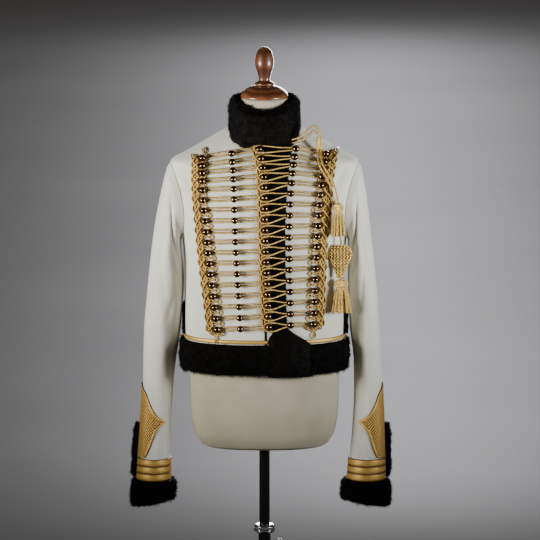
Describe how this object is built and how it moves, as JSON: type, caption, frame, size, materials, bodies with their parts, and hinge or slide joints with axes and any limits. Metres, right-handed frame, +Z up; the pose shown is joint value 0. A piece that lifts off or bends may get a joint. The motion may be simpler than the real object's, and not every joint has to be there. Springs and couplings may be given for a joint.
{
  "type": "hussar pelisse on dress form",
  "caption": "Short fur-trimmed hussar pelisse in pale wool with gold cord frogging, worn by a limbless dress form on a height-adjustable stand.",
  "frame": {"origin": "on the floor, at the centre of the stand's flat base, under the pole", "axes": "+Z up along the pole, -Y the way the garment faces, +X the garment's left side, which is on the viewer's right"},
  "size_m": [0.5514, 0.38, 1.444],
  "materials": {
    "wool": "milled ivory wool broadcloth, matt with a short nap",
    "fur": "dense dark brown curled fur",
    "gold": "gilt metal thread cord and gilt ball buttons",
    "linen": "cream jersey cover stretched over a padded form",
    "wood": "turned beech, stained and varnished",
    "black": "gloss black enamel on steel",
    "chrome": "polished"
  },
  "bodies": {
    "stand": {"base": "black", "stand_tube": "black", "clamp_ring": "chrome"},
    "knob": {"clamp_knob": "black"},
    "pole": {"pole": "black"},
    "figure": {"form_torso": "linen", "form_neck_cap": "wood", "form_finial": "wood", "front_left": "wool", "front_right": "wool", "back": "wool", "sleeve_left_top": "wool", "sleeve_left_under": "wool", "sleeve_right_top": "wool", "sleeve_right_under": "wool", "fur_front_edge": "fur", "fur_hem": "fur", "braid_hem": "gold", "fur_vent_left": "fur", "fur_vent_right": "fur", "fur_collar": "fur", "fur_cuff_left": "fur", "fur_cuff_right": "fur", "fur_slit_left": "fur", "fur_slit_right": "fur", "lace_band_left": "gold", "lace_band_right": "gold", "lace_spear_left": "gold", "lace_spear_right": "gold", "frogging_01": "gold", "frogging_02": "gold", "frogging_03": "gold", "frogging_04": "gold", "frogging_05": "gold", "frogging_06": "gold", "frogging_07": "gold", "frogging_08": "gold", "frogging_09": "gold", "frogging_10": "gold", "frogging_11": "gold", "frogging_12": "gold", "frogging_13": "gold", "frogging_14": "gold", "frogging_15": "gold", "frogging_16": "gold", "frogging_17": "gold", "frogging_18": "gold", "border_left": "gold", "border_right": "gold", "cord_loop_1": "gold", "cord_loop_2": "gold", "cord_drop_short": "gold", "cord_drop_long": "gold", "cord_slide": "gold", "tassel_short": "gold", "lozenge": "gold", "tassel_long": "gold"}
  },
  "joints": [
    {"name": "height_slide", "type": "slide", "parent": "stand", "child": "pole", "axis": [0, 0, 1], "range_m": [-0.15, 0.17]},
    {"name": "form_turn", "type": "hinge", "parent": "pole", "child": "figure", "pos_m": [0, 0, 0.6], "axis": [0, 0, 1], "continuous": true},
    {"name": "knob_turn", "type": "hinge", "parent": "stand", "child": "knob", "pos_m": [0, 0, 0.386], "axis": [1, 0, 0], "range_deg": [0, 360]}
  ]
}
